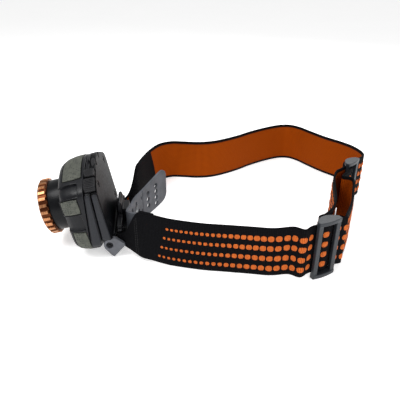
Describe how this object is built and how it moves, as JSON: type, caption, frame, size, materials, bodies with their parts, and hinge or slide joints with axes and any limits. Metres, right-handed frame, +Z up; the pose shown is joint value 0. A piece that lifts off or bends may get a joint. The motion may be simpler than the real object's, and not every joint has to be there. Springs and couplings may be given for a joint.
{
  "type": "zoom headlamp",
  "caption": "Zoom headlamp with a copper focus ring on a tilting lamp head, a perforated forehead pad and a dotted elastic band with two sliders.",
  "frame": {"origin": "middle of the footprint, on the surface that the headlamp lies on", "axes": "+Z up; the lamp looks along -Y, nose down by 10.8 degrees; +X is the lamp's own left as seen from in front, towards the strap with two sliders"},
  "size_m": [0.1826, 0.2324, 0.0577],
  "materials": {
    "housing": "fine moulded satin",
    "inlay": "matt textured",
    "gloss_black": "polished",
    "copper": "copper anodised, turned",
    "steel": "satin",
    "lens": "clear",
    "rubber": "matt",
    "board": "lacquered",
    "cell": "shrink sleeve",
    "emitter": "phosphor",
    "alloy": "satin",
    "slider": "moulded satin",
    "pad": "matt",
    "band": "woven elastic"
  },
  "bodies": {
    "band_and_bracket": {"hinge_bracket": "slider", "hinge_pin": "steel", "hinge_washer_right": "steel", "hinge_washer_left": "steel", "forehead_pad": "pad", "pad_rivet_right": "steel", "pad_rivet_left": "steel", "long_strap": "band", "short_strap": "band", "near_slider": "slider", "far_slider": "slider"},
    "lamp": {"front_housing": "housing", "inlay_top": "inlay", "inlay_right_upper": "inlay", "inlay_right_lower": "inlay", "inlay_bottom": "inlay", "inlay_left_lower": "inlay", "inlay_left_upper": "inlay", "mid_frame": "housing", "rear_cover": "housing", "cover_screw_1": "steel", "cover_screw_2": "steel", "cover_screw_3": "steel", "cover_screw_4": "steel", "usb_socket": "steel", "indicator_window": "gloss_black", "led_emitter": "emitter", "led_board": "alloy", "heat_sink": "alloy", "driver_board": "board", "battery_cell": "cell", "lamp_knuckle": "housing"},
    "barrel": {"zoom_barrel": "gloss_black", "lens": "lens", "lens_seat": "gloss_black", "lens_retainer": "gloss_black"},
    "focus_ring": {"focus_ring": "copper"},
    "power_button": {"power_button": "rubber"},
    "sensor_button": {"sensor_button": "rubber"},
    "port_cover": {"port_cover": "rubber"}
  },
  "joints": [
    {"name": "lamp_tilt", "type": "hinge", "parent": "band_and_bracket", "child": "lamp", "pos_m": [0.02792, -0.07346, 0.0085], "axis": [1, 0, 0], "range_deg": [-8, 48]},
    {"name": "focus_travel", "type": "slide", "parent": "lamp", "child": "barrel", "axis": [0, 0.9823, 0.1874], "range_m": [0, 0.0065]},
    {"name": "focus_turn", "type": "hinge", "parent": "barrel", "child": "focus_ring", "pos_m": [0.02792, -0.11035, 0.02366], "axis": [0, 0.9823, 0.1874], "range_deg": [0, 150]},
    {"name": "power_button_press", "type": "slide", "parent": "lamp", "child": "power_button", "axis": [0, 0.1874, -0.9823], "range_m": [0, 0.001], "stiffness_N_per_m": 400, "springref_m": -0.0004},
    {"name": "sensor_button_press", "type": "slide", "parent": "lamp", "child": "sensor_button", "axis": [0, 0.1874, -0.9823], "range_m": [0, 0.001], "stiffness_N_per_m": 400, "springref_m": -0.0004},
    {"name": "port_cover_open", "type": "hinge", "parent": "lamp", "child": "port_cover", "pos_m": [0.05609, -0.08247, 0.04506], "axis": [0, 0.9823, 0.1874], "range_deg": [0, 95], "stiffness_Nm_per_rad": 0.003, "springref_deg": -2.86}
  ],
  "couplings": [
    {"joint": "focus_travel", "follows": "focus_turn", "m_per_rad": 0.0024}
  ]
}
